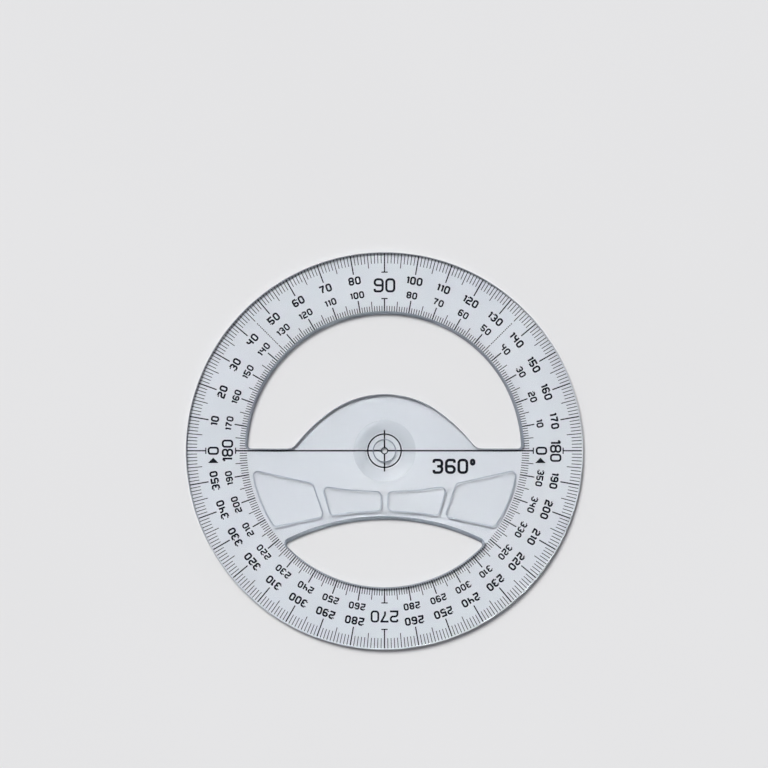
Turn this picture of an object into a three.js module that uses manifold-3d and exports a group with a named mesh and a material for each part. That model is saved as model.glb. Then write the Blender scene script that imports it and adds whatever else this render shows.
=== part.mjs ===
import * as THREE from 'three';
import Module from 'manifold-3d';
import { mergeVertices } from 'three/addons/utils/BufferGeometryUtils.js';

// Full-circle protractor: one clear moulded plate with its graduation printed on
// the underside, so that the marks touch the paper. Millimetres. It lies flat on
// Z = 0, relief side up. The origin is the centre of the scales, +Y points to the
// 90 mark and +X to the 180 mark of the outer scale.

// Moulded plate
const OUTER_RADIUS = 60;
const HOLE_RADIUS = 41.3; // inner edge of the scale ring
const THICKNESS = 2; // from the paper to the top face, print included
const INK = 0.02; // thickness of the printed film
const RIM_BREAK = 0.3; // chamfer on the top outer edge
const UPPER_FLARE = 0.3; // chamfer on the top edge of the upper window
const LOWER_FLARE = 0.7; // chamfer on the top edge of the lower window
const CURVE_ERROR = 0.01; // how far a chord may leave its arc
const RIM_SIDES = 180; // facets around the outer edge
const CUTTER_REACH = 1; // how far a cutter runs past the plate's faces
const WELD_DISTANCE = 1e-5; // corners closer than this are one corner
const SHORTEST_STEP = 1e-4; // outline points closer than this are one point

// Bridge across the ring: its straight upper edge, a hump over the middle, and an
// arched lower edge
const BAR_TOP = 0.65;
const HUMP_TOP = 17.15;
const CROWN_RADIUS = 28.1;
const CROWN_HALF_ANGLE = 36; // where the crown hands over to the flank
const FLANK_RADIUS = 52.8;
const FOOT_RADIUS = 3.3; // fillet between the flank and the straight edge
const ARCH_TOP = -20.9;
const ARCH_RADIUS = 65.7;
const CORNER_RADIUS = 1; // window corners at the ring

// Dished centre with a thin web and a pencil hole
const DISH_RADIUS = 9.4;
const DISH_FLOOR_RADIUS = 5.6;
const DISH_DEPTH = 0.8;
const WEB_RADIUS = 3.42;
const WEB_THICKNESS = 0.8;
const PENCIL_HOLE_RADIUS = 0.75;
const DISH_SIDES = 72;

// Recessed panels in the top face of the bridge, right-hand pair
const PANEL_DEPTH = 0.3;
const PANEL_CORNER = 1.2;
const PANEL_ARC_RADIUS = 40.2;
const PANEL_ARC_CHORDS = 4;
const SIDE_PANEL_ARC = [-34.4, -8.6]; // degrees from +X
const SIDE_PANEL_INNER_EDGE = [[21.84, -10], [18.55, -19.7]];
const MIDDLE_PANEL = [
  [1.2, -12.55],
  [1.2, -17.85],
  [10, -18.4],
  [16.1, -19.35],
  [18.6, -10.95],
  [10, -12.1],
];

// Degree scales. A scale grows from its edge of the ring towards the numerals.
const TICK_STEP = 5;
const OUTER_SCALE = { name: 'outer', edge: 59.7, tick5: 55.3, tick10: 54, joint: 0.15 };
const INNER_SCALE = { name: 'inner', edge: 41.55, tick5: 45.2, tick10: 46, joint: -0.15 };
const TICK_WIDTH = 0.24;
const LONG_TICK_WIDTH = 0.36;
const SERIF = [1.9, 0.34]; // width and height of the bar that ends a cardinal mark

// Baseline and reticle
const BASELINE_END = 45;
const BASELINE_WIDTH = 0.45;
const RETICLE_RADIUS = 5.05;
const RETICLE_WIDTH = 0.42;
const CROSS_END = 6.4;
const CROSS_WIDTH = 0.45;
const LINE_START = 0.85; // the lines leave the pencil hole's edge clear

// Numerals. Height, stroke and letter gap are in millimetres; the rest is a share
// of the height.
const TOP_NUMERAL = { height: 4.3, stroke: 0.66, gap: 0.45 };
const BOTTOM_NUMERAL = { height: 3.65, stroke: 0.57, gap: 0.3 };
const SIDE_NUMERAL = { height: 3.45, stroke: 0.57, gap: 0.27 };
const RANGE_NUMERAL = { height: 4.6, stroke: 0.8, gap: 0.5 };
const RANGE_CENTRE = [21, -4.7];
const DIGIT_WIDTH = 0.71;
const ONE_WIDTH = 0.37;
const DEGREE_WIDTH = 0.36;
const DIGIT_CORNER = 0.2; // centre-line radius of a rounded corner
const DEGREE_CORNER = 0.6; // the same for the degree sign, as a share of its stroke
const TOP_NUMERAL_RADIUS = 50;
const BOTTOM_NUMERAL_RADIUS = 50.1;
const SIDE_NUMERAL_RADIUS = { outer: 51.75, inner: 47.45 };

// Zero arrows beside the 0 of each scale: base at 3.7 from the mark, point at 2.1
const ARROW_REACH = [3.7, 2.1];
const ARROW_HALF = 1.6;
const OUTER_ARROW_RADIUS = 51.75;
const INNER_ARROW_RADIUS = 47.15;

const wasm = await Module();
wasm.setup();

const plastic = new THREE.MeshStandardMaterial({
  color: 0xdce2ec,
  roughness: 0.12,
  metalness: 0,
  transparent: true,
  opacity: 0.5,
});
const protractor = new THREE.Group();

function inkMaterial() {
  return new THREE.MeshStandardMaterial({ color: 0x141821, roughness: 0.45, metalness: 0 });
}

function radians(degrees) {
  return THREE.MathUtils.degToRad(degrees);
}

// ---- Solids ---------------------------------------------------------------

// A manifold solid from a closed three.js geometry.
function solid(geometry) {
  const bare = geometry.clone();
  bare.deleteAttribute('normal');
  bare.deleteAttribute('uv');
  const merged = mergeVertices(bare, WELD_DISTANCE);
  const corners = merged.index.array;
  const faces = [];
  for (let i = 0; i < corners.length; i += 3) {
    const [a, b, c] = corners.slice(i, i + 3);
    const hasArea = a !== b && b !== c && c !== a;
    if (hasArea) faces.push(a, b, c);
  }
  return new wasm.Manifold(new wasm.Mesh({
    numProp: 3,
    vertProperties: Float32Array.from(merged.attributes.position.array),
    triVerts: Uint32Array.from(faces),
  }));
}

function geometryOf(manifold) {
  const mesh = manifold.getMesh();
  const geometry = new THREE.BufferGeometry();
  geometry.setAttribute('position', new THREE.BufferAttribute(mesh.vertProperties, 3));
  geometry.setIndex(new THREE.BufferAttribute(mesh.triVerts, 1));
  geometry.computeVertexNormals();
  return geometry;
}

function extrude(shape, bottom, top) {
  const geometry = new THREE.ExtrudeGeometry(shape, { depth: top - bottom, bevelEnabled: false });
  return geometry.translate(0, 0, bottom);
}

function union(solids) {
  return solids.reduce((whole, next) => whole.add(next));
}

function addPart(name, geometry, material) {
  const mesh = new THREE.Mesh(geometry, material);
  mesh.name = name;
  protractor.add(mesh);
  return mesh;
}

// One printed body, drawn upright and turned about the centre.
function addInk(name, shapes, turn = 0) {
  const print = union(shapes.map((shape) => solid(extrude(shape, 0, INK))));
  addPart(name, geometryOf(print), inkMaterial()).rotation.z = turn;
}

// ---- Outlines -------------------------------------------------------------

// Points along an arc; angles in degrees from +X, either way round.
function arc(cx, cy, radius, from, to) {
  const step = 2 * Math.acos(1 - CURVE_ERROR / radius);
  const steps = Math.max(2, Math.ceil(Math.abs(radians(to - from)) / step));
  return Array.from({ length: steps + 1 }, (_, i) => {
    const angle = radians(from + ((to - from) * i) / steps);
    return new THREE.Vector2(cx + radius * Math.cos(angle), cy + radius * Math.sin(angle));
  });
}

function angleTo(x, y) {
  return THREE.MathUtils.radToDeg(Math.atan2(y, x));
}

// A closed outline from its right half, which starts and ends on the Y axis.
function mirrorAcrossY(rightHalf) {
  const leftHalf = rightHalf.slice(1, -1).reverse().map((p) => new THREE.Vector2(-p.x, p.y));
  return new THREE.Shape([...rightHalf, ...leftHalf]);
}

function withoutRepeats(points) {
  return points.filter((p, i) => i === 0 || p.distanceTo(points[i - 1]) > SHORTEST_STEP);
}

// Rounds the corners of a polygon, or of an open line, whose ends then stay put.
function roundCorners(points, radiusAt, closed) {
  const count = points.length;
  return points.flatMap((corner, i) => {
    const radius = radiusAt(i);
    if (radius === 0 || (!closed && (i === 0 || i === count - 1))) return [corner];
    const back = points[(i + count - 1) % count].clone().sub(corner).normalize();
    const on = points[(i + 1) % count].clone().sub(corner).normalize();
    const halfOpening = Math.acos(THREE.MathUtils.clamp(back.dot(on), -1, 1)) / 2;
    const toCentre = back.clone().add(on).normalize().multiplyScalar(radius / Math.sin(halfOpening));
    const centre = corner.clone().add(toCentre);
    const start = corner.clone().addScaledVector(back, radius / Math.tan(halfOpening));
    const from = angleTo(start.x - centre.x, start.y - centre.y);
    const turn = 180 - 2 * THREE.MathUtils.radToDeg(halfOpening);
    const side = Math.sign(on.x * back.y - on.y * back.x);
    return arc(centre.x, centre.y, radius, from, from + side * turn);
  });
}

function toVectors(pairs) {
  return pairs.map(([x, y]) => new THREE.Vector2(x, y));
}

// The line moved sideways by a distance, to the left of its direction, with mitred
// corners.
function offsetLine(points, distance, closed) {
  const count = points.length;
  return points.map((point, i) => {
    const before = points[(i + count - 1) % count];
    const after = points[(i + 1) % count];
    const isStart = !closed && i === 0;
    const isEnd = !closed && i === count - 1;
    const leaving = isEnd ? point.clone().sub(before) : after.clone().sub(point);
    const arriving = isStart ? leaving.clone() : point.clone().sub(before);
    const along = arriving.normalize().clone().add(leaving.normalize()).normalize();
    const reach = distance / along.dot(arriving);
    return new THREE.Vector2(point.x - along.y * reach, point.y + along.x * reach);
  });
}

function upperWindow() {
  const cornerY = BAR_TOP + CORNER_RADIUS;
  const cornerX = Math.sqrt((HOLE_RADIUS - CORNER_RADIUS) ** 2 - cornerY ** 2);
  const cornerAngle = angleTo(cornerX, cornerY);
  const crownY = HUMP_TOP - CROWN_RADIUS;
  const handover = 90 - CROWN_HALF_ANGLE;
  const flankX = (CROWN_RADIUS - FLANK_RADIUS) * Math.cos(radians(handover));
  const flankY = crownY + (CROWN_RADIUS - FLANK_RADIUS) * Math.sin(radians(handover));
  const footY = BAR_TOP + FOOT_RADIUS;
  const footX = flankX + Math.sqrt((FLANK_RADIUS + FOOT_RADIUS) ** 2 - (footY - flankY) ** 2);
  const footAngle = angleTo(footX - flankX, footY - flankY);
  return mirrorAcrossY(withoutRepeats([
    ...arc(0, crownY, CROWN_RADIUS, 90, handover),
    ...arc(flankX, flankY, FLANK_RADIUS, handover, footAngle),
    ...arc(footX, footY, FOOT_RADIUS, footAngle + 180, 270),
    ...arc(cornerX, cornerY, CORNER_RADIUS, 270, 360 + cornerAngle),
    ...arc(0, 0, HOLE_RADIUS, cornerAngle, 90),
  ]));
}

function lowerWindow() {
  const archY = ARCH_TOP - ARCH_RADIUS;
  const fromRing = HOLE_RADIUS - CORNER_RADIUS;
  const fromArch = ARCH_RADIUS - CORNER_RADIUS;
  const cornerY = (fromRing ** 2 - fromArch ** 2 + archY ** 2) / (2 * archY);
  const cornerX = Math.sqrt(fromRing ** 2 - cornerY ** 2);
  const archEnd = angleTo(cornerX, cornerY - archY);
  const ringStart = angleTo(cornerX, cornerY);
  return mirrorAcrossY(withoutRepeats([
    ...arc(0, archY, ARCH_RADIUS, 90, archEnd),
    ...arc(cornerX, cornerY, CORNER_RADIUS, archEnd, ringStart),
    ...arc(0, 0, HOLE_RADIUS, ringStart, -90),
  ]));
}

function panelShapes() {
  const [low, high] = SIDE_PANEL_ARC;
  const ringSide = Array.from({ length: PANEL_ARC_CHORDS + 1 }, (_, i) => {
    const angle = radians(low + ((high - low) * i) / PANEL_ARC_CHORDS);
    return [PANEL_ARC_RADIUS * Math.cos(angle), PANEL_ARC_RADIUS * Math.sin(angle)];
  });
  const right = [[...SIDE_PANEL_INNER_EDGE, ...ringSide], MIDDLE_PANEL];
  const left = right.map((outline) => outline.map(([x, y]) => [-x, y]));
  return [...right, ...left].map((outline) => (
    new THREE.Shape(roundCorners(toVectors(outline), () => PANEL_CORNER, true))
  ));
}

// ---- Plate ----------------------------------------------------------------

function disc() {
  const profile = toVectors([
    [0, INK],
    [OUTER_RADIUS, INK],
    [OUTER_RADIUS, THICKNESS - RIM_BREAK],
    [OUTER_RADIUS - RIM_BREAK, THICKNESS],
    [0, THICKNESS],
  ]);
  return solid(new THREE.LatheGeometry(profile, RIM_SIDES).rotateX(Math.PI / 2));
}

// A window through the plate, flared at its top edge. The flare's own bevel starts
// as wide as the window and is full size at the top face.
function windowCutter(shape, width) {
  const flare = new THREE.ExtrudeGeometry(shape, {
    depth: CUTTER_REACH,
    bevelThickness: width,
    bevelSize: width,
    bevelSegments: 1,
  });
  const through = solid(extrude(shape, INK - CUTTER_REACH, THICKNESS + CUTTER_REACH));
  return through.add(solid(flare.translate(0, 0, THICKNESS)));
}

// The dish is a cone with a flat floor. The web sits in a shallow step of the floor.
function dishCutter() {
  const profile = toVectors([
    [0, INK - CUTTER_REACH],
    [PENCIL_HOLE_RADIUS, INK - CUTTER_REACH],
    [PENCIL_HOLE_RADIUS, INK + WEB_THICKNESS],
    [WEB_RADIUS, INK + WEB_THICKNESS],
    [WEB_RADIUS, THICKNESS - DISH_DEPTH],
    [DISH_FLOOR_RADIUS, THICKNESS - DISH_DEPTH],
    [DISH_RADIUS, THICKNESS],
    [DISH_RADIUS, THICKNESS + CUTTER_REACH],
    [0, THICKNESS + CUTTER_REACH],
  ]);
  return solid(new THREE.LatheGeometry(profile, DISH_SIDES).rotateX(Math.PI / 2));
}

function addPlate() {
  const panels = panelShapes().map((shape) => (
    solid(extrude(shape, THICKNESS - PANEL_DEPTH, THICKNESS + CUTTER_REACH))
  ));
  const windows = [
    windowCutter(upperWindow(), UPPER_FLARE),
    windowCutter(lowerWindow(), LOWER_FLARE),
  ];
  const cutters = [...windows, dishCutter(), ...panels];
  const plate = cutters.reduce((body, cutter) => body.subtract(cutter), disc());
  addPart('protractor_plate', geometryOf(plate), plastic);
}

// ---- Printed scales -------------------------------------------------------

// The ticks between two cardinal marks, joined by a hairline along the ring's edge.
// Each tick is given in the sense of growing angle from +X.
function quadrantShape(scale, quadrant) {
  const tips = [];
  const edge = [];
  for (let degrees = TICK_STEP; degrees < 90; degrees += TICK_STEP) {
    const isLong = degrees % 10 === 0;
    const tip = isLong ? scale.tick10 : scale.tick5;
    const halfWidth = (isLong ? LONG_TICK_WIDTH : TICK_WIDTH) / 2;
    const angle = radians(quadrant * 90 + degrees);
    const along = new THREE.Vector2(Math.cos(angle), Math.sin(angle));
    const across = new THREE.Vector2(-along.y, along.x);
    const at = (radius, offset) => along.clone().multiplyScalar(radius).addScaledVector(across, offset);
    const joint = scale.edge - scale.joint;
    tips.push(at(joint, -halfWidth), at(tip, -halfWidth), at(tip, halfWidth), at(joint, halfWidth));
    edge.push(at(scale.edge, -halfWidth), at(scale.edge, halfWidth));
  }
  return new THREE.Shape([...tips, ...edge.reverse()]);
}

function rectangle(x0, y0, x1, y1) {
  return new THREE.Shape(toVectors([[x0, y0], [x1, y0], [x1, y1], [x0, y1]]));
}

// A long mark that ends in a serif, drawn towards +Y.
function cardinalMark(scale) {
  const half = LONG_TICK_WIDTH / 2;
  const [serifWidth, serifHeight] = SERIF;
  const [low, high] = [scale.edge, scale.tick10].sort((a, b) => a - b);
  const stem = rectangle(-half, low, half, high);
  const foot = scale.tick10 - serifHeight / 2;
  return [stem, rectangle(-serifWidth / 2, foot, serifWidth / 2, foot + serifHeight)];
}

// The turn that takes a piece drawn towards +Y to a mark of the outer scale, which
// counts clockwise from -X.
function turnTo(outerDegrees) {
  return radians(90 - outerDegrees);
}

function addScale(scale, cardinals) {
  for (let quadrant = 0; quadrant < 4; quadrant += 1) {
    addInk(`ink_${scale.name}_scale_quadrant_${quadrant + 1}`, [quadrantShape(scale, quadrant)]);
  }
  for (const degrees of cardinals) {
    addInk(`ink_${scale.name}_mark_${degrees}`, cardinalMark(scale), turnTo(degrees));
  }
}

// Baseline, reticle circle and cross line. The lines stop at the pencil hole.
function addReticle() {
  const [serifWidth, serifHeight] = SERIF;
  const serifStart = BASELINE_END - serifHeight / 2;
  const circle = new THREE.Shape(arc(0, 0, RETICLE_RADIUS + RETICLE_WIDTH / 2, 0, 360).slice(1));
  circle.holes.push(new THREE.Path(arc(0, 0, RETICLE_RADIUS - RETICLE_WIDTH / 2, 0, 360).slice(1)));
  const shapes = [circle];
  for (const side of [-1, 1]) {
    const inner = side * LINE_START;
    shapes.push(
      rectangle(inner, -BASELINE_WIDTH / 2, side * BASELINE_END, BASELINE_WIDTH / 2),
      rectangle(-CROSS_WIDTH / 2, inner, CROSS_WIDTH / 2, side * CROSS_END),
      rectangle(side * serifStart, -serifWidth / 2, side * (serifStart + serifHeight), serifWidth / 2),
    );
  }
  addInk('ink_baseline_and_reticle', shapes);
}

function addZeroArrow(name, direction, radius, outerDegrees) {
  const [base, point] = ARROW_REACH.map((reach) => reach * direction);
  const outline = toVectors([[base, radius - ARROW_HALF], [base, radius + ARROW_HALF], [point, radius]]);
  addInk(name, [new THREE.Shape(outline)], turnTo(outerDegrees));
}

// ---- Printed numerals -----------------------------------------------------

// Each digit is one or more lines on a cell one unit wide and high, rounded at the
// points that `round` lists. A line whose `closed` is set runs back to its start.
// OVER takes the end of a line out to the digit's full width.
const OVER = 0.11;
const ROUND_LOOP = { round: [0, 1, 2, 3], closed: true };
const DIGITS = {
  0: [{ line: [[0, 0], [1, 0], [1, 1], [0, 1]], ...ROUND_LOOP }],
  1: [
    { line: [[1, 0], [1, 1]], round: [] },
    { line: [[-0.06, 0.77], [0.92, 0.99]], round: [] },
  ],
  2: [{
    line: [[0, 0.78], [0, 1], [1, 1], [1, 0.5], [0, 0.5], [0, 0], [1 + OVER, 0]],
    round: [1, 2, 3, 4],
  }],
  3: [
    { line: [[0, 0.78], [0, 1], [1, 1], [1, 0.5], [0.4, 0.5]], round: [1, 2, 3] },
    { line: [[0.4, 0.5], [1, 0.5], [1, 0], [0, 0], [0, 0.22]], round: [1, 2, 3] },
  ],
  6: [{
    line: [[1, 0.78], [1, 1], [0, 1], [0, 0], [1, 0], [1, 0.5], [0, 0.5]],
    round: [1, 2, 3, 4, 5],
  }],
  7: [
    { line: [[-OVER, 1], [1 + OVER, 1]], round: [] },
    { line: [[0.98, 1], [0.42, 0.34], [0.42, 0]], round: [1] },
  ],
  8: [
    { line: [[0, 0.5], [1, 0.5], [1, 1], [0, 1]], ...ROUND_LOOP },
    { line: [[0, 0], [1, 0], [1, 0.5], [0, 0.5]], ...ROUND_LOOP },
  ],
  9: [{
    line: [[1, 0.5], [0, 0.5], [0, 1], [1, 1], [1, 0], [0, 0], [0, 0.22]],
    round: [1, 2, 3, 4, 5],
  }],
  deg: [{ line: [[0, 0.66], [1, 0.66], [1, 1], [0, 1]], ...ROUND_LOOP }],
};

function strokeShape(points, width, closed) {
  const left = offsetLine(points, width / 2, closed);
  const right = offsetLine(points, -width / 2, closed);
  if (!closed) return new THREE.Shape([...left, ...right.reverse()]);
  const shape = new THREE.Shape(right);
  shape.holes.push(new THREE.Path(left));
  return shape;
}

function digitWidth(symbol, height) {
  const shares = { 1: ONE_WIDTH, deg: DEGREE_WIDTH };
  return height * (shares[symbol] ?? DIGIT_WIDTH);
}

// The corner radius that half of the shorter neighbouring stretch has room for.
function roundingRoom(points, i, radius) {
  const count = points.length;
  const before = points[i].distanceTo(points[(i + count - 1) % count]);
  const after = points[i].distanceTo(points[(i + 1) % count]);
  return Math.min(radius, before / 2, after / 2);
}

// The shapes of one digit, centred on a point.
function digitShapes(symbol, style, x, y) {
  const width = digitWidth(symbol, style.height) - style.stroke;
  const height = style.height - style.stroke;
  const corner = symbol === 'deg' ? DEGREE_CORNER * style.stroke : DIGIT_CORNER * style.height;
  return DIGITS[symbol].map(({ line, round, closed = false }) => {
    const points = toVectors(line.map(([u, v]) => [x + (u - 0.5) * width, y + (v - 0.5) * height]));
    const radiusAt = (i) => (round.includes(i) ? roundingRoom(points, i, corner) : 0);
    return strokeShape(withoutRepeats(roundCorners(points, radiusAt, closed)), style.stroke, closed);
  });
}

// One body per digit, in a row centred on the given point and read along +X.
function addNumber(prefix, symbols, style, x, y, turn = 0) {
  const widths = symbols.map((symbol) => digitWidth(symbol, style.height));
  const total = widths.reduce((sum, width) => sum + width, 0) + style.gap * (symbols.length - 1);
  let left = x - total / 2;
  symbols.forEach((symbol, i) => {
    const name = symbols.length > 1 ? `${prefix}_digit_${i + 1}` : prefix;
    addInk(name, digitShapes(symbol, style, left + widths[i] / 2, y), turn);
    left += widths[i] + style.gap;
  });
}

function addNumeral(prefix, symbols, style, radius, outerDegrees) {
  addNumber(prefix, symbols, style, 0, radius, turnTo(outerDegrees));
}

addPlate();
addReticle();
addScale(OUTER_SCALE, [0, 90, 180, 270]);
addScale(INNER_SCALE, [90, 270]);
addZeroArrow('ink_outer_zero_arrow', -1, OUTER_ARROW_RADIUS, 0);
addZeroArrow('ink_inner_zero_arrow', 1, INNER_ARROW_RADIUS, 180);
addNumeral('ink_top_90', [9, 0], TOP_NUMERAL, TOP_NUMERAL_RADIUS, 90);
addNumeral('ink_bottom_270', [2, 7, 0], BOTTOM_NUMERAL, BOTTOM_NUMERAL_RADIUS, 270);
addNumeral('ink_left_outer_0', [0], SIDE_NUMERAL, SIDE_NUMERAL_RADIUS.outer, 0);
addNumeral('ink_left_inner_180', [1, 8, 0], SIDE_NUMERAL, SIDE_NUMERAL_RADIUS.inner, 0);
addNumeral('ink_right_outer_180', [1, 8, 0], SIDE_NUMERAL, SIDE_NUMERAL_RADIUS.outer, 180);
addNumeral('ink_right_inner_0', [0], SIDE_NUMERAL, SIDE_NUMERAL_RADIUS.inner, 180);
addNumber('ink_range_360', [3, 6, 0, 'deg'], RANGE_NUMERAL, ...RANGE_CENTRE);

export default protractor;
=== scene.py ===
import math
from functools import lru_cache

import bmesh
import bpy
from mathutils import Matrix, Vector, geometry


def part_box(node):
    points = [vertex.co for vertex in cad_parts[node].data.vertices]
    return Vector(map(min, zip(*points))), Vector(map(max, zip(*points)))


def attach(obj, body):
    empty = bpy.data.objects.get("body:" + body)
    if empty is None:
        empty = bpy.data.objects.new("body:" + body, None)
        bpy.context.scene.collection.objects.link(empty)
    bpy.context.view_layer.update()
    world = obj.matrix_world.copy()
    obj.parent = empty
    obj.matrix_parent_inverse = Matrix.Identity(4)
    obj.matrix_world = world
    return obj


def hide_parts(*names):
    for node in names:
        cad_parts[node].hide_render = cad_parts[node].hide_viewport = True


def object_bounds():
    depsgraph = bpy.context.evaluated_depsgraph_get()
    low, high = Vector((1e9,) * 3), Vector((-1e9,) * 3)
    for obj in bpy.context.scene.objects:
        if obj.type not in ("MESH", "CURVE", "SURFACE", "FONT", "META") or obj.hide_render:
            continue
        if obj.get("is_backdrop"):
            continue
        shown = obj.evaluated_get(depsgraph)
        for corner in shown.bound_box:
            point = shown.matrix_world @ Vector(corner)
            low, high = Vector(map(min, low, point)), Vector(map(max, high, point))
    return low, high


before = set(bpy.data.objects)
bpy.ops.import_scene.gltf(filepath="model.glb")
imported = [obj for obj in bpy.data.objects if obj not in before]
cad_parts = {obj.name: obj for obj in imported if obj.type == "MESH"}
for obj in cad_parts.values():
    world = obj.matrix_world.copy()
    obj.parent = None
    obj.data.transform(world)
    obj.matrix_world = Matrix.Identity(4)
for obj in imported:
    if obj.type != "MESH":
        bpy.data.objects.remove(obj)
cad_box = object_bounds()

# The clear full-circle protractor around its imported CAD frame. Outlines are worked
# out in millimetres in the frame's own axes and turned into metres when a mesh is
# made. The plate gets its moulded edges, dish and panels here, and the print gets
# its single degree marks, small numerals, dotted lines and thin circles.

MM = 0.001

# ---- Sizes, in millimetres ---------------------------------------------------

PLATE_LOW, PLATE_HIGH = (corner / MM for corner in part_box("protractor_plate"))
PRINT_LOW, PRINT_HIGH = (corner.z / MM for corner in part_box("ink_baseline_and_reticle"))
OUTER_RADIUS = PLATE_HIGH.x
TOP = PLATE_HIGH.z
EMBED = 0.005  # how deep the print lies in the plate, so that no two faces coincide
BOTTOM = PLATE_LOW.z - EMBED
CURVE_ERROR = 0.004  # how far a chord of an arc may stray from it
WELD_DISTANCE = 1e-5  # outline points closer than this are one point
STROKE_WELD = 1e-4  # the same for the lines of a digit

HOLE_RADIUS = 41.3
BAR_TOP = 0.65
HUMP_TOP = 17.15
CROWN_RADIUS = 28.1
CROWN_HALF_ANGLE = 36
FLANK_RADIUS = 52.8
FOOT_RADIUS = 3.3
ARCH_TOP = -20.9
ARCH_RADIUS = 65.7
CORNER_RADIUS = 1

WEB_RADIUS = 3.42
DISH_RADIUS = 9.4
DISH_FLOOR_RADIUS = 5.6
DISH_DEPTH = 0.8
WEB_THICKNESS = 0.8
WEB_TOP = BOTTOM + WEB_THICKNESS
PENCIL_HOLE_RADIUS = 0.75

PANEL_DEPTH = 0.3
PANEL_CORNER = 1.2
PANEL_ARC_RADIUS = 40.2
PANEL_ARC_CHORDS = 4
SIDE_PANEL_ARC = (-34.4, -8.6)
SIDE_PANEL_INNER_EDGE = [(21.84, -10), (18.55, -19.7)]
MIDDLE_PANEL = [
    (1.2, -12.55), (1.2, -17.85), (10, -18.4), (16.1, -19.35), (18.6, -10.95), (10, -12.1),
]

# Moulded edges: the width of a bevel and the radius that eases it into its neighbours
RIM_BEVEL, UPPER_BEVEL, LOWER_BEVEL, FOOT_BREAK, EASE = 0.1, 0.35, 0.65, 0.06, 0.08
# How far each wall leans back over its height
RIM_DRAFT, UPPER_DRAFT, LOWER_DRAFT = 0.06, 0.5, 0.6
HUMP_SHARE = 0.22  # width of the upper window's edge along the bridge, against the ring's
LOWER_RING_SHARE = 0.2  # the same of the lower window along the ring, against the arch's
PANEL_SLOPE = 0.42  # width of the wall around a panel, seen from above
WEB_STEP = 0.2  # the same of the step around the web
DISH_EASE = 0.25
SUPPORT = 0.08  # width of the flat strip that keeps a face's shading flat beside a round edge

# Degree scales: the edge the marks start from, then the ends of the 1, 5 and 10
# degree marks
OUTER_SCALE = {"edge": 59.7, 1: 56.66, 5: 55.3, 10: 54.0}
INNER_SCALE = {"edge": 41.55, 1: 43.8, 5: 45.2, 10: 46.0}
TICK_WIDTH = {1: 0.22, 5: 0.24, 10: 0.36}
CARDINALS = (0, 90, 180, 270)

# Numerals every ten degrees: height, stroke, gap between digits, centre radius
OUTER_NUMERAL = {"height": 2.5, "stroke": 0.54, "gap": 0.24, "radius": 52.1}
INNER_NUMERAL = {"height": 2.15, "stroke": 0.46, "gap": 0.22, "radius": 47.65}
DIGIT_WIDTH = 0.71
ONE_WIDTH = 0.37
DIGIT_CORNER = 0.2

CORNER_STEPS = 4
DISH_SIDES = 120
BEVEL_TURNS = (0, 15, 30, 45)  # the steps of an eased edge of a bevel, in degrees
FALL_SHARES = (0, 1 / 3, 2 / 3, 1)  # the steps of an eased edge of a slope

# Thin printed circles around the pencil hole and the web: radius and width
THIN_CIRCLES = [(0.94, 0.32), (WEB_RADIUS, 0.3)]
CIRCLE_SIDES = 72
CIRCLE_INSET = 0.002  # keeps their faces clear of those of the lines they cross

# Dotted radial lines
DOTTED_AT = (45, 135)
DOT_FROM, DOT_TO = 45.6, 54.9
DOT_PITCH, DOT_LENGTH, DOT_WIDTH = 0.65, 0.4, 0.3

# ---- Stage, in metres --------------------------------------------------------

FLOOR_RADIUS, FLOOR_SIDES = 12, 64
FLOOR_DROP = -0.00001  # the gap under the print
WALLS, CEILING = (0.8, 0.8, 0.8), (0.2, 0.2, 0.22)
WALL_TOP, CEILING_START = 0.12, 0.3  # as the sine of the elevation
KEY_DIRECTION = (117, 52)  # azimuth and elevation, degrees
KEY_WIDTH, KEY_STRENGTH = 25.7, 2.96  # degrees across, watts per square metre
CAMERA_PLACE = (-0.000145, 0.02018, 0.6455)
CAMERA_LENS = 100  # millimetres
CAMERA_NEAR = 0.01
REFLECTION_LIMIT = 30  # above the key's radiance, so that its light isn't cut in the plate


# ---- Outlines ---------------------------------------------------------------

class Arc:
    """Part of a circle. Where the outline moves into the plate by some distance, the
    radius changes by side times that distance, with side running from the first
    value at the arc's start to the second at its end."""

    def __init__(self, x, y, radius, start, end, side, end_side=None):
        self.x, self.y, self.radius = x, y, radius
        self.start, self.end = start, end
        self.side, self.end_side = side, side if end_side is None else end_side
        step = 2 * math.degrees(math.acos(1 - CURVE_ERROR / radius))
        self.steps = max(2, math.ceil(abs(end - start) / step))

    def points(self, inset):
        for i in range(self.steps + 1):
            share = i / self.steps
            radius = self.radius + inset * (self.side + (self.end_side - self.side) * share)
            angle = math.radians(self.start + (self.end - self.start) * share)
            yield Vector((self.x + radius * math.cos(angle), self.y + radius * math.sin(angle)))


def outline(arcs, inset=0.0, mirrored=False):
    """The closed outline through the arcs, moved into the plate by inset."""
    points = []
    for arc in arcs:
        for point in arc.points(inset):
            if not points or (point - points[-1]).length > WELD_DISTANCE:
                points.append(point)
    if mirrored:
        return points + [Vector((-p.x, p.y)) for p in reversed(points[1:-1])]
    if (points[0] - points[-1]).length < WELD_DISTANCE:
        points.pop()
    return points


def angle_to(x, y):
    return math.degrees(math.atan2(y, x))


def circle(radius, side):
    return [Arc(0, 0, radius, 0, 360, side)]


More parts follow.
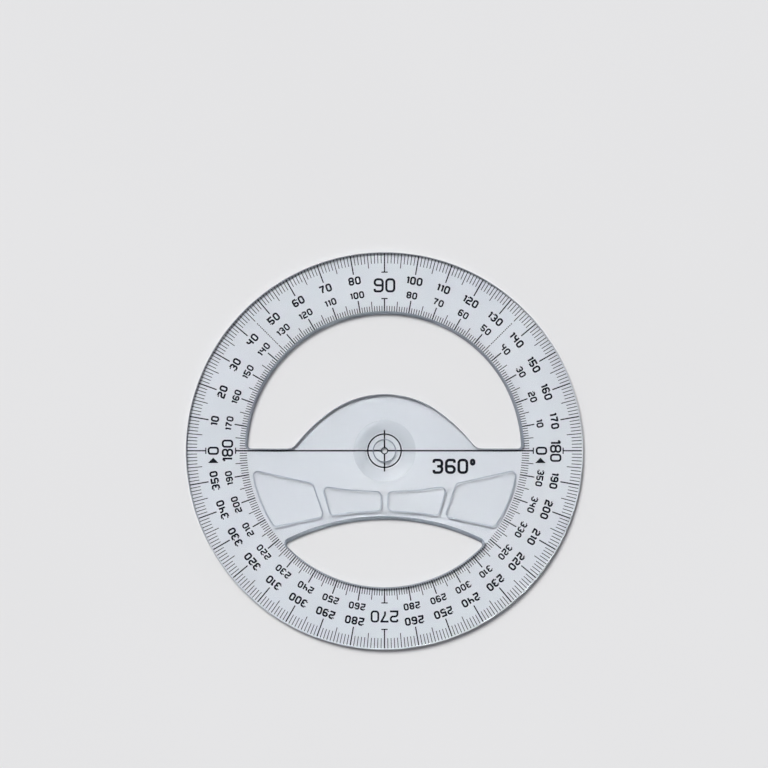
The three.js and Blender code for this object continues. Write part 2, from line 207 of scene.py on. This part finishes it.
def upper_window():
    corner_y = BAR_TOP + CORNER_RADIUS
    corner_x = math.sqrt((HOLE_RADIUS - CORNER_RADIUS) ** 2 - corner_y ** 2)
    corner_angle = angle_to(corner_x, corner_y)
    crown_y = HUMP_TOP - CROWN_RADIUS
    handover = 90 - CROWN_HALF_ANGLE
    flank_x = (CROWN_RADIUS - FLANK_RADIUS) * math.cos(math.radians(handover))
    flank_y = crown_y + (CROWN_RADIUS - FLANK_RADIUS) * math.sin(math.radians(handover))
    foot_y = BAR_TOP + FOOT_RADIUS
    foot_x = flank_x + math.sqrt((FLANK_RADIUS + FOOT_RADIUS) ** 2 - (foot_y - flank_y) ** 2)
    foot_angle = angle_to(foot_x - flank_x, foot_y - flank_y)
    return [
        Arc(0, crown_y, CROWN_RADIUS, 90, handover, -HUMP_SHARE),
        Arc(flank_x, flank_y, FLANK_RADIUS, handover, foot_angle, -HUMP_SHARE),
        Arc(foot_x, foot_y, FOOT_RADIUS, foot_angle + 180, 270, HUMP_SHARE),
        Arc(corner_x, corner_y, CORNER_RADIUS, 270, 360 + corner_angle, HUMP_SHARE, 1),
        Arc(0, 0, HOLE_RADIUS, corner_angle, 90, 1),
    ]


def lower_window():
    arch_y = ARCH_TOP - ARCH_RADIUS
    from_ring = HOLE_RADIUS - CORNER_RADIUS
    from_arch = ARCH_RADIUS - CORNER_RADIUS
    corner_y = (from_ring ** 2 - from_arch ** 2 + arch_y ** 2) / (2 * arch_y)
    corner_x = math.sqrt(from_ring ** 2 - corner_y ** 2)
    arch_end = angle_to(corner_x, corner_y - arch_y)
    ring_start = angle_to(corner_x, corner_y)
    return [
        Arc(0, arch_y, ARCH_RADIUS, 90, arch_end, 1),
        Arc(corner_x, corner_y, CORNER_RADIUS, arch_end, ring_start, 1, LOWER_RING_SHARE),
        Arc(0, 0, HOLE_RADIUS, ring_start, -90, LOWER_RING_SHARE),
    ]


def rounded_polygon(corners, radius):
    """The corner arcs of a polygon that runs counter-clockwise, as a recess whose
    outline grows with inset."""
    arcs = []
    for i, corner in enumerate(corners):
        back = (corners[i - 1] - corner).normalized()
        on = (corners[(i + 1) % len(corners)] - corner).normalized()
        half_opening = back.angle(on) / 2
        centre = corner + (back + on).normalized() * radius / math.sin(half_opening)
        start = corner + back * radius / math.tan(half_opening) - centre
        turn = 180 - 2 * math.degrees(half_opening)
        convex = back.x * on.y - back.y * on.x < 0
        sense = 1 if convex else -1
        from_angle = angle_to(start.x, start.y)
        to_angle = from_angle + sense * turn
        arcs.append(Arc(centre.x, centre.y, radius, from_angle, to_angle, sense))
    return arcs


def panels():
    """The outlines of the four panels."""
    low, high = SIDE_PANEL_ARC
    side = list(SIDE_PANEL_INNER_EDGE)
    for i in range(PANEL_ARC_CHORDS + 1):
        angle = math.radians(low + (high - low) * i / PANEL_ARC_CHORDS)
        side.append((PANEL_ARC_RADIUS * math.cos(angle), PANEL_ARC_RADIUS * math.sin(angle)))
    for right in (side, MIDDLE_PANEL):
        yield rounded_polygon([Vector(p) for p in right], PANEL_CORNER)
        yield rounded_polygon([Vector((-x, y)) for x, y in reversed(right)], PANEL_CORNER)


# ---- Meshes -----------------------------------------------------------------

def new_piece(name, bm, materials, replaced=()):
    """A finished object from a bmesh in millimetres, riding on the root body."""
    bmesh.ops.scale(bm, vec=(MM, MM, MM), verts=bm.verts)
    bmesh.ops.recalc_face_normals(bm, faces=bm.faces)
    mesh = bpy.data.meshes.new(name)
    bm.to_mesh(mesh)
    bm.free()
    for material in materials:
        mesh.materials.append(material)
    piece = bpy.data.objects.new(name, mesh)
    bpy.context.scene.collection.objects.link(piece)
    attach(piece, "root")
    if replaced:
        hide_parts(*replaced)
    return piece


def add_loop(bm, points, z):
    return [bm.verts.new((p.x, p.y, z)) for p in points]


def bridge(bm, first, second):
    for i in range(len(first)):
        face = bm.faces.new((first[i - 1], first[i], second[i], second[i - 1]))
        face.smooth = True


def loft(bm, arcs, profile, mirrored=False):
    """Strips of faces along an outline through a profile of (inset, z) pairs.
    Returns the first and the last loop."""
    loops = [add_loop(bm, outline(arcs, inset, mirrored), z) for inset, z in profile]
    for first, second in zip(loops, loops[1:]):
        bridge(bm, first, second)
    return loops[0], loops[-1]


def cap(bm, loops):
    """A flat face inside the first loop and outside the others, as triangles."""
    verts = [v for loop in loops for v in loop]
    for triangle in geometry.tessellate_polygon([[v.co for v in loop] for loop in loops]):
        corners = [verts[i] for i in triangle]
        if len(set(corners)) == 3:
            bm.faces.new(corners).smooth = True


def bevel_profile(width, ease, face_z, up):
    """A 45 degree bevel between a wall and a face, with both its edges eased by a
    radius, as (inset, z) pairs from the wall to the face."""
    reach = ease * math.tan(math.radians(BEVEL_TURNS[-1] / 2))
    pairs = []
    for angle in BEVEL_TURNS:
        turn = math.radians(angle)
        pairs.append((ease * (1 - math.cos(turn)), width + reach - ease * math.sin(turn)))
    for angle in reversed(BEVEL_TURNS):
        turn = math.radians(angle)
        pairs.append((width + reach - ease * math.sin(turn), ease * (1 - math.cos(turn))))
    pairs.append((width + reach + SUPPORT, 0))
    return [(inset, face_z - depth if up else face_z + depth) for inset, depth in pairs]


def wall_profile(top_bevel, draft):
    """From the flat of the underside, up the wall, to the flat of the top."""
    foot = bevel_profile(FOOT_BREAK, FOOT_BREAK, BOTTOM, up=False)
    head = bevel_profile(top_bevel, EASE, TOP, up=True)
    return foot[::-1] + [(inset + draft, z) for inset, z in head]


def eased_fall(start, z_start, end, z_end, ease):
    """A straight slope between two level stretches, eased at both ends, as
    (radius, z) pairs from the upper, outer end to the lower, inner one."""
    slope = math.atan2(z_start - z_end, start - end)
    reach = ease * math.tan(slope / 2)
    upper = []
    for share in FALL_SHARES:
        turn = slope * share
        upper.append((reach - ease * math.sin(turn), ease * (1 - math.cos(turn))))
    pairs = [(start + along, z_start - depth) for along, depth in upper]
    return pairs + [(end - along, z_end + depth) for along, depth in reversed(upper)]


def panel_profile():
    """From the flat of the top, down the eased wall of a panel, to its floor."""
    fall = eased_fall(PANEL_SLOPE, TOP, 0, TOP - PANEL_DEPTH, EASE)
    rim = PANEL_SLOPE + EASE + SUPPORT
    return [(rim, TOP), *fall, (-EASE - SUPPORT, TOP - PANEL_DEPTH)]


def dish_profile():
    """From the flat of the top, down the cone and over a step to the web, and through
    the pencil hole to the flat of the underside, as (radius, z) pairs."""
    floor_z = TOP - DISH_DEPTH
    hole_edge = PENCIL_HOLE_RADIUS + FOOT_BREAK
    return [
        (DISH_RADIUS + DISH_EASE + SUPPORT, TOP),
        *eased_fall(DISH_RADIUS, TOP, DISH_FLOOR_RADIUS, floor_z, DISH_EASE),
        (DISH_FLOOR_RADIUS - DISH_EASE - SUPPORT, floor_z),
        (WEB_RADIUS + WEB_STEP / 2 + EASE + SUPPORT, floor_z),
        *eased_fall(WEB_RADIUS + WEB_STEP / 2, floor_z, WEB_RADIUS - WEB_STEP / 2, WEB_TOP, EASE),
        (WEB_RADIUS - WEB_STEP / 2 - EASE - SUPPORT, WEB_TOP),
        (hole_edge + SUPPORT, WEB_TOP),
        (hole_edge, WEB_TOP),
        (PENCIL_HOLE_RADIUS, WEB_TOP - FOOT_BREAK),
        (PENCIL_HOLE_RADIUS, BOTTOM + FOOT_BREAK),
        (hole_edge, BOTTOM),
        (hole_edge + SUPPORT, BOTTOM),
    ]


# The plate's materials by number, after the polished one, which is number 0, and the tilts from
# level, in degrees, at which the cone of the dish and the edges begin. Every material but the
# polished one carries painted shade.
MATT_EDGE_PAINTED_SHADE, MATT_RELIEF_PAINTED_SHADE, MATT_DISH_PAINTED_SHADE, MATT_RIM_PAINTED_SHADE = range(1, 5)
DISH_TILT, BEVEL_TILT = 4, 16


def finish_by_tilt(faces, finishes):
    """Gives each face the last material whose least tilt from level it passes, so that the tilted
    faces take the greys and tints of painted shade. The finishes are (degrees, material number)
    pairs, the flattest first."""
    for face in faces:
        face.normal_update()
        tilt = math.degrees(math.acos(min(1, abs(face.normal.z))))
        for least_tilt, number in finishes:
            if tilt > least_tilt:
                face.material_index = number


def add_walls(bm):
    """The rim and the walls of both windows. Returns their loops in the top face and
    in the underside, the rim's first."""
    walls = [
        (circle(OUTER_RADIUS, -1), RIM_BEVEL, RIM_DRAFT, False, MATT_RIM_PAINTED_SHADE),
        (upper_window(), UPPER_BEVEL, UPPER_DRAFT, True, MATT_EDGE_PAINTED_SHADE),
        (lower_window(), LOWER_BEVEL, LOWER_DRAFT, True, MATT_EDGE_PAINTED_SHADE),
    ]
    tops, bottoms = [], []
    for arcs, top_bevel, draft, mirrored, finish in walls:
        before = set(bm.faces)
        low, high = loft(bm, arcs, wall_profile(top_bevel, draft), mirrored)
        finish_by_tilt(set(bm.faces) - before, [(BEVEL_TILT, finish)])
        bottoms.append(low)
        tops.append(high)
    return tops, bottoms


def add_dish(bm):
    """The dish, the web and the pencil hole, from the top face to the underside. A
    circle of radius 1 has the radius that is wanted after an inset of 1 less."""
    before = set(bm.faces)
    unit = Arc(0, 0, 1, 0, 360, 1)
    unit.steps = DISH_SIDES
    high, low = loft(bm, [unit], [(radius - 1, z) for radius, z in dish_profile()])
    finishes = [(DISH_TILT, MATT_DISH_PAINTED_SHADE), (BEVEL_TILT, MATT_EDGE_PAINTED_SHADE)]
    finish_by_tilt(set(bm.faces) - before, finishes)
    return high, low


def add_panels(bm):
    """The four shallow panels. Returns their loops in the top face."""
    before = set(bm.faces)
    tops = []
    for arcs in panels():
        high, floor = loft(bm, arcs, panel_profile())
        cap(bm, [floor])
        tops.append(high)
    finish_by_tilt(set(bm.faces) - before, [(BEVEL_TILT, MATT_RELIEF_PAINTED_SHADE)])
    return tops


def build_plate(materials):
    """The whole moulded plate as one closed mesh."""
    bm = bmesh.new()
    wall_tops, wall_bottoms = add_walls(bm)
    dish_top, dish_bottom = add_dish(bm)
    panel_tops = add_panels(bm)
    cap(bm, [*wall_tops, dish_top, *panel_tops])
    cap(bm, [*wall_bottoms, dish_bottom])
    return new_piece("moulded_plate", bm, materials, ["protractor_plate"])


# ---- Print ------------------------------------------------------------------

def turn_to(outer_degrees):
    """The turn that takes a mark drawn towards +Y to its place on the outer scale,
    which counts clockwise from -X."""
    return Matrix.Rotation(math.radians(90 - outer_degrees), 2)


def rectangle(x0, y0, x1, y1):
    return [Vector((x0, y0)), Vector((x1, y0)), Vector((x1, y1)), Vector((x0, y1))]


def covers(quad, point):
    """Whether a counter-clockwise quad has the point inside."""
    for i in range(4):
        side, way = quad[i] - quad[i - 1], point - quad[i - 1]
        if side.x * way.y - side.y * way.x < 0:
            return False
    return True


INSIDE_FACES = 1  # keeps only the triangles inside the faces given to delaunay_2d_cdt


def flat_union(quads):
    """Points, triangles and boundary edges of the area that the quads cover."""
    points = [p for quad in quads for p in quad]
    faces = [[4 * i + k for k in range(4)] for i in range(len(quads))]
    points, _, faces, *_ = geometry.delaunay_2d_cdt(
        points, [], faces, INSIDE_FACES, STROKE_WELD)
    triangles = []
    for face in faces:
        centre = sum((points[i] for i in face), Vector((0, 0))) / 3
        if any(covers(quad, centre) for quad in quads):
            triangles.append(tuple(face))
    directed = {(t[k - 1], t[k]) for t in triangles for k in range(3)}
    boundary = [(a, b) for a, b in directed if (b, a) not in directed]
    return points, triangles, boundary


def add_print(bm, flat, turn):
    """A thin prism of ink from the paper into the plate's underside."""
    points, triangles, boundary = flat
    used = sorted({i for t in triangles for i in t})
    placed = {i: turn @ points[i] for i in used}
    low = {i: bm.verts.new((p.x, p.y, PRINT_LOW)) for i, p in placed.items()}
    high = {i: bm.verts.new((p.x, p.y, PRINT_HIGH)) for i, p in placed.items()}
    for a, b, c in triangles:
        bm.faces.new((high[a], high[b], high[c]))
        bm.faces.new((low[c], low[b], low[a]))
    for a, b in boundary:
        bm.faces.new((low[a], low[b], high[b], high[a]))


def build_ticks(name, scale, material):
    """Every mark of a scale but the cardinal ones, which are nodes of their own."""
    bm = bmesh.new()
    for degrees in range(360):
        if degrees in CARDINALS:
            continue
        kind = next(step for step in (10, 5, 1) if degrees % step == 0)
        half = TICK_WIDTH[kind] / 2
        low, high = sorted((scale["edge"], scale[kind]))
        add_print(bm, flat_union([rectangle(-half, low, half, high)]), turn_to(degrees))
    replaced = [f"{name}_quadrant_{i}" for i in range(1, 5)]
    return new_piece(f"{name}_marks", bm, [material], replaced)


def build_dots(material):
    """The dotted radial lines."""
    bm = bmesh.new()
    count = round((DOT_TO - DOT_FROM) / DOT_PITCH)
    for degrees in DOTTED_AT:
        for i in range(count):
            low = DOT_FROM + i * DOT_PITCH
            dot = rectangle(-DOT_WIDTH / 2, low, DOT_WIDTH / 2, low + DOT_LENGTH)
            add_print(bm, flat_union([dot]), turn_to(degrees))
    return new_piece("ink_dotted_lines", bm, [material])


def build_thin_circles(material):
    """The thin circles, as flat rings."""
    bm = bmesh.new()
    low, high = PRINT_LOW + CIRCLE_INSET, PRINT_HIGH - CIRCLE_INSET
    for radius, width in THIN_CIRCLES:
        section = [(-width / 2, low), (width / 2, low), (width / 2, high), (-width / 2, high)]
        arc = Arc(0, 0, radius, 0, 360, 1)
        arc.steps = CIRCLE_SIDES
        loops = [add_loop(bm, outline([arc], inset), z) for inset, z in section]
        for i in range(len(loops)):
            bridge(bm, loops[i - 1], loops[i])
    for face in bm.faces:
        face.smooth = False
    return new_piece("ink_thin_circles", bm, [material])


# Each digit is one or more lines on a cell one unit wide and high: the points, the
# numbers of the rounded points, and whether the line closes on itself.
OVER = 0.11  # takes the end of a line out to the digit's full width
LOOP = (0, 1, 2, 3)
DIGITS = {
    "0": [([(0, 0), (1, 0), (1, 1), (0, 1)], LOOP, True)],
    "1": [([(1, 0), (1, 1)], (), False), ([(-0.06, 0.77), (0.92, 0.99)], (), False)],
    "2": [
        ([(0, 0.78), (0, 1), (1, 1), (1, 0.5), (0, 0.5), (0, 0), (1 + OVER, 0)],
         (1, 2, 3, 4), False),
    ],
    "3": [
        ([(0, 0.78), (0, 1), (1, 1), (1, 0.5), (0.4, 0.5)], (1, 2, 3), False),
        ([(0.4, 0.5), (1, 0.5), (1, 0), (0, 0), (0, 0.22)], (1, 2, 3), False),
    ],
    "4": [
        ([(0, 1), (0, 0.5), (1 + OVER, 0.5)], (1,), False),
        ([(0.9, 1), (0.9, 0)], (), False),
    ],
    "5": [
        ([(1 + OVER, 1), (0, 1), (0, 0.5), (1, 0.5), (1, 0), (0, 0), (0, 0.22)],
         (3, 4, 5), False),
    ],
    "6": [
        ([(1, 0.78), (1, 1), (0, 1), (0, 0), (1, 0), (1, 0.5), (0, 0.5)],
         (1, 2, 3, 4, 5), False),
    ],
    "7": [
        ([(-OVER, 1), (1 + OVER, 1)], (), False),
        ([(0.98, 1), (0.42, 0.34), (0.42, 0)], (1,), False),
    ],
    "8": [
        ([(0, 0.5), (1, 0.5), (1, 1), (0, 1)], LOOP, True),
        ([(0, 0), (1, 0), (1, 0.5), (0, 0.5)], LOOP, True),
    ],
    "9": [
        ([(1, 0.5), (0, 0.5), (0, 1), (1, 1), (1, 0), (0, 0), (0, 0.22)],
         (1, 2, 3, 4, 5), False),
    ],
}


def rounded_line(points, rounded, radius, closed):
    """The line with its listed corners as arcs of a few steps."""
    result = []
    for i, corner in enumerate(points):
        if i not in rounded:
            result.append(corner)
            continue
        back = points[i - 1] - corner
        on = points[(i + 1) % len(points)] - corner
        reach = min(radius, back.length / 2, on.length / 2)
        start = corner + back.normalized() * reach
        end = corner + on.normalized() * reach
        centre = start + end - corner
        for step in range(CORNER_STEPS + 1):
            turn = math.pi / 2 * step / CORNER_STEPS
            across = (start - centre) * math.cos(turn)
            result.append(centre + across + (end - centre) * math.sin(turn))
    kept = [result[0]]
    for point, previous in zip(result[1:], result):
        if (point - previous).length > STROKE_WELD:
            kept.append(point)
    if closed and (kept[0] - kept[-1]).length < STROKE_WELD:
        kept.pop()
    return kept


def side_offsets(points, closed):
    """At each point of a line, the mitred way to its left, for a unit distance."""
    last = len(points) - 1
    offsets = []
    for i, point in enumerate(points):
        arriving = point - points[i - 1]
        leaving = points[(i + 1) % len(points)] - point
        if not closed and i == 0:
            arriving = leaving
        if not closed and i == last:
            leaving = arriving
        arriving = arriving.normalized()
        along = (arriving + leaving.normalized()).normalized()
        offsets.append(Vector((-along.y, along.x)) / along.dot(arriving))
    return offsets


def stroke_quads(points, width, closed):
    """The line at its full width, as one quad for each of its steps."""
    offsets = side_offsets(points, closed)
    left = [p + o * width / 2 for p, o in zip(points, offsets)]
    right = [p - o * width / 2 for p, o in zip(points, offsets)]
    first = 0 if closed else 1
    return [[left[i - 1], right[i - 1], right[i], left[i]] for i in range(first, len(points))]


def digit_width(digit, height):
    return height * (ONE_WIDTH if digit == "1" else DIGIT_WIDTH)


def digit_quads(digit, height, stroke, x, y):
    """A digit centred at (x, y)."""
    across = digit_width(digit, height) - stroke
    up = height - stroke
    quads = []
    for line, rounded, closed in DIGITS[digit]:
        points = [Vector((x + (u - 0.5) * across, y + (v - 0.5) * up)) for u, v in line]
        points = rounded_line(points, rounded, DIGIT_CORNER * height, closed)
        quads += stroke_quads(points, stroke, closed)
    return quads


@lru_cache(maxsize=None)
def number_flats(text, height, stroke, gap, radius):
    """The digits of a number in a row, centred at a radius on +Y."""
    widths = [digit_width(digit, height) for digit in text]
    left = -(sum(widths) + gap * (len(text) - 1)) / 2
    flats = []
    for digit, width in zip(text, widths):
        flats.append(flat_union(digit_quads(digit, height, stroke, left + width / 2, radius)))
        left += width + gap
    return flats


def build_numerals(name, style, value_at, material):
    """The numbers every ten degrees, except at the four cardinal marks."""
    bm = bmesh.new()
    for degrees in range(0, 360, 10):
        if degrees in CARDINALS:
            continue
        for flat in number_flats(str(value_at(degrees)), **style):
            add_print(bm, flat, turn_to(degrees))
    return new_piece(name, bm, [material])


# ---- Materials --------------------------------------------------------------

# The stretch of a noise's values that a material's range is spread over
NOISE_LOW, NOISE_HIGH = 0.3, 0.7
NOISE_ROUGHNESS = 0.5
FINE_DETAIL, USUAL_DETAIL, PLAIN_DETAIL, SMOOTH_DETAIL = 4, 3, 2, 1

PLASTIC_IOR = 1.49
SHEEN_IOR, SHEEN_ROUGHNESS = 1.8, 0.42
LOW_SPECULAR = 0.1

# Each material's range, from one end of its noise to the other
CLEAR_TINT = ((0.943, 0.967, 1.0), (0.953, 0.975, 1.0))
# The dish tint is painted shade: a greyer colour that darkens the cone of the dish.
DISH_PAINTED_SHADE_TINT = ((0.88, 0.92, 0.96), (0.9, 0.94, 0.98))
# The edge, relief and rim greys are painted shade: they darken the walls and bevels of the
# windows, the rim, the panels and the pencil hole.
EDGE_PAINTED_SHADE_GREY = ((0.24, 0.28, 0.34), (0.3, 0.34, 0.4))
RELIEF_PAINTED_SHADE_GREY = ((0.42, 0.46, 0.52), (0.48, 0.52, 0.57))
RIM_PAINTED_SHADE_GREY = ((0.5, 0.54, 0.6), (0.56, 0.6, 0.66))
INK_COLOUR = ((0.004, 0.005, 0.009), (0.009, 0.011, 0.018))
PAPER_COLOUR = ((0.795, 0.795, 0.79), (0.81, 0.81, 0.805))
CLEAR_ROUGHNESS, DISH_ROUGHNESS = (0.01, 0.03), (0.06, 0.09)
MATT_ROUGHNESS, INK_ROUGHNESS = (0.35, 0.5), (0.35, 0.6)
PAPER_ROUGHNESS = 0.9
EDGE_TRANSMISSION, SOFT_TRANSMISSION = 0.4, 0.5

# Sizes of the noises, in features per metre, and depths of the bumps, in metres
TINT_SCALE, GLOSS_SCALE = 28, 900
MATT_TINT_SCALE, MATT_GLOSS_SCALE = 1500, 3000
INK_MOTTLE_SCALE, PAPER_SCALE = 2500, 6
WAVE_SCALE, WAVE_DEPTH = 60, 0.00002
GRAIN_SCALE, GRAIN_DEPTH = 12000, 0.000004
INK_GRAIN_SCALE, INK_GRAIN_DEPTH = 9000, 0.000002


class Nodes:
    """A material's node tree with short ways to add and join nodes."""

    def __init__(self, name):
        self.material = bpy.data.materials.new(name)
        self.material.use_nodes = True
        self.tree = self.material.node_tree
        self.shader = self.tree.nodes["Principled BSDF"]
        self.object_point = self.add("ShaderNodeTexCoord").outputs["Object"]

    def add(self, kind):
        return self.tree.nodes.new(kind)

    def link(self, source, target):
        self.tree.links.new(source, target)

    def noise(self, scale, detail=USUAL_DETAIL):
        """Noise over the object, with its scale in features per metre."""
        node = self.add("ShaderNodeTexNoise")
        node.inputs["Scale"].default_value = scale
        node.inputs["Detail"].default_value = detail
        node.inputs["Roughness"].default_value = NOISE_ROUGHNESS
        self.link(self.object_point, node.inputs["Vector"])
        return node.outputs["Fac"]

    def colours(self, factor, low, high):
        ramp = self.add("ShaderNodeValToRGB")
        ramp.color_ramp.elements[0].color = (*low, 1)
        ramp.color_ramp.elements[1].color = (*high, 1)
        ramp.color_ramp.elements[0].position = NOISE_LOW
        ramp.color_ramp.elements[1].position = NOISE_HIGH
        self.link(factor, ramp.inputs["Fac"])
        return ramp.outputs["Color"]

    def ranged(self, factor, low, high):
        node = self.add("ShaderNodeMapRange")
        node.inputs["From Min"].default_value = NOISE_LOW
        node.inputs["From Max"].default_value = NOISE_HIGH
        node.inputs["To Min"].default_value = low
        node.inputs["To Max"].default_value = high
        self.link(factor, node.inputs["Value"])
        return node.outputs["Result"]

    def bump(self, height, distance):
        node = self.add("ShaderNodeBump")
        node.inputs["Distance"].default_value = distance
        node.inputs["Strength"].default_value = 1
        self.link(height, node.inputs["Height"])
        return node.outputs["Normal"]

    def vary(self, socket, output):
        """Lets a socket of the shader follow another node."""
        self.link(output, self.shader.inputs[socket])

    def set(self, **values):
        for name, value in values.items():
            self.shader.inputs[name.replace("_", " ")].default_value = value


def clear_plastic():
    """Clear moulded plastic: a faint cool tint and slow waves from the mould."""
    nodes = Nodes("clear_plastic")
    nodes.set(IOR=PLASTIC_IOR, Transmission_Weight=1)
    nodes.vary("Base Color", nodes.colours(nodes.noise(TINT_SCALE), *CLEAR_TINT))
    gloss = nodes.noise(GLOSS_SCALE, FINE_DETAIL)
    nodes.vary("Roughness", nodes.ranged(gloss, *CLEAR_ROUGHNESS))
    nodes.vary("Normal", nodes.bump(nodes.noise(WAVE_SCALE, SMOOTH_DETAIL), WAVE_DEPTH))
    return nodes.material


def matt_plastic(name, transmission, painted_shade_greys):
    """The same plastic where the mould is left matt, which scatters light. Its grey is painted
    shade, so that the walls and bevels read as grey lines from above."""
    nodes = Nodes(name)
    nodes.set(IOR=PLASTIC_IOR, Transmission_Weight=transmission)
    nodes.vary("Base Color", nodes.colours(nodes.noise(MATT_TINT_SCALE), *painted_shade_greys))
    nodes.vary("Roughness", nodes.ranged(nodes.noise(MATT_GLOSS_SCALE), *MATT_ROUGHNESS))
    nodes.vary("Normal", nodes.bump(nodes.noise(GRAIN_SCALE, PLAIN_DETAIL), GRAIN_DEPTH))
    return nodes.material


def matt_dish():
    """The cone of the dish: see-through, with a soft sheen, and a greyer tint that is painted
    shade in the dish.
    """
    nodes = Nodes("matt_dish")
    nodes.set(IOR=PLASTIC_IOR, Transmission_Weight=1)
    nodes.set(Coat_Weight=1, Coat_IOR=SHEEN_IOR, Coat_Roughness=SHEEN_ROUGHNESS)
    nodes.vary("Base Color", nodes.colours(nodes.noise(MATT_TINT_SCALE), *DISH_PAINTED_SHADE_TINT))
    nodes.vary("Roughness", nodes.ranged(nodes.noise(MATT_GLOSS_SCALE), *DISH_ROUGHNESS))
    return nodes.material


def printed_ink():
    """Blue-black printing ink with a little mottle in its colour and gloss."""
    nodes = Nodes("printed_ink")
    nodes.set(Specular_IOR_Level=LOW_SPECULAR)
    mottle = nodes.noise(INK_MOTTLE_SCALE, FINE_DETAIL)
    nodes.vary("Base Color", nodes.colours(mottle, *INK_COLOUR))
    nodes.vary("Roughness", nodes.ranged(mottle, *INK_ROUGHNESS))
    grain = nodes.noise(INK_GRAIN_SCALE, PLAIN_DETAIL)
    nodes.vary("Normal", nodes.bump(grain, INK_GRAIN_DEPTH))
    return nodes.material


def table_paper():
    """Pale paper with a slow change of tone."""
    nodes = Nodes("table_paper")
    nodes.set(Specular_IOR_Level=LOW_SPECULAR, Roughness=PAPER_ROUGHNESS)
    nodes.vary("Base Color", nodes.colours(nodes.noise(PAPER_SCALE), *PAPER_COLOUR))
    return nodes.material


# ---- Stage ------------------------------------------------------------------

def build_floor():
    bm = bmesh.new()
    bmesh.ops.create_circle(bm, cap_ends=True, segments=FLOOR_SIDES, radius=FLOOR_RADIUS)
    mesh = bpy.data.meshes.new("floor")
    bm.to_mesh(mesh)
    bm.free()
    mesh.materials.append(table_paper())
    floor = bpy.data.objects.new("floor", mesh)
    floor.location.z = FLOOR_DROP
    bpy.context.scene.collection.objects.link(floor)
    floor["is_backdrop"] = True


def build_world():
    """A pale room: brighter round the horizon, darker overhead."""
    world = bpy.data.worlds.new("room")
    bpy.context.scene.world = world
    world.use_nodes = True
    tree = world.node_tree
    direction = tree.nodes.new("ShaderNodeTexCoord")
    split = tree.nodes.new("ShaderNodeSeparateXYZ")
    ramp = tree.nodes.new("ShaderNodeValToRGB")
    ramp.color_ramp.elements[0].color = (*WALLS, 1)
    ramp.color_ramp.elements[1].color = (*CEILING, 1)
    ramp.color_ramp.elements[0].position = WALL_TOP
    ramp.color_ramp.elements[1].position = CEILING_START
    tree.links.new(direction.outputs["Generated"], split.inputs["Vector"])
    tree.links.new(split.outputs["Z"], ramp.inputs["Fac"])
    tree.links.new(ramp.outputs["Color"], tree.nodes["Background"].inputs["Color"])


def aim(item, target):
    item.rotation_euler = (Vector(target) - item.location).to_track_quat("-Z", "Y").to_euler()


def build_key_light():
    """A broad, even light from one side, the same over the whole floor."""
    data = bpy.data.lights.new("key", "SUN")
    data.angle = math.radians(KEY_WIDTH)
    data.energy = KEY_STRENGTH
    key = bpy.data.objects.new("key", data)
    azimuth, elevation = (math.radians(a) for a in KEY_DIRECTION)
    key.location = (
        math.cos(elevation) * math.cos(azimuth),
        math.cos(elevation) * math.sin(azimuth),
        math.sin(elevation),
    )
    aim(key, (0, 0, 0))
    bpy.context.scene.collection.objects.link(key)


def build_camera():
    """Looking straight down, from a little way towards the top mark."""
    data = bpy.data.cameras.new("camera")
    data.lens = CAMERA_LENS
    data.clip_start = CAMERA_NEAR
    camera = bpy.data.objects.new("camera", data)
    camera.location = CAMERA_PLACE
    bpy.context.scene.collection.objects.link(camera)
    bpy.context.scene.camera = camera


def write_sizes():
    """Works out the boxes of the CAD and of the visual model, in metres."""
    boxes = {"cad": cad_box, "visual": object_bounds()}
    sizes = {name: [list(corner) for corner in box] for name, box in boxes.items()}


ink = printed_ink()
# The plate's edge, relief, dish and rim materials carry painted shade.
build_plate([
    clear_plastic(),
    matt_plastic("matt_edge_painted_shade", EDGE_TRANSMISSION, EDGE_PAINTED_SHADE_GREY),
    matt_plastic("matt_relief_painted_shade", SOFT_TRANSMISSION, RELIEF_PAINTED_SHADE_GREY),
    matt_dish(),
    matt_plastic("matt_rim_painted_shade", SOFT_TRANSMISSION, RIM_PAINTED_SHADE_GREY),
])
build_ticks("ink_outer_scale", OUTER_SCALE, ink)
build_ticks("ink_inner_scale", INNER_SCALE, ink)
build_numerals("ink_outer_numerals", OUTER_NUMERAL, lambda degrees: degrees, ink)
build_numerals("ink_inner_numerals", INNER_NUMERAL, lambda degrees: (180 - degrees) % 360, ink)
build_dots(ink)
build_thin_circles(ink)
for name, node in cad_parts.items():
    if name.startswith("ink_"):
        node.data.materials.clear()
        node.data.materials.append(ink)
build_floor()
build_world()
build_key_light()
build_camera()
bpy.context.scene.view_settings.view_transform = "Standard"
bpy.context.scene.cycles.blur_glossy = 0
bpy.context.scene.cycles.sample_clamp_indirect = REFLECTION_LIMIT
write_sizes()
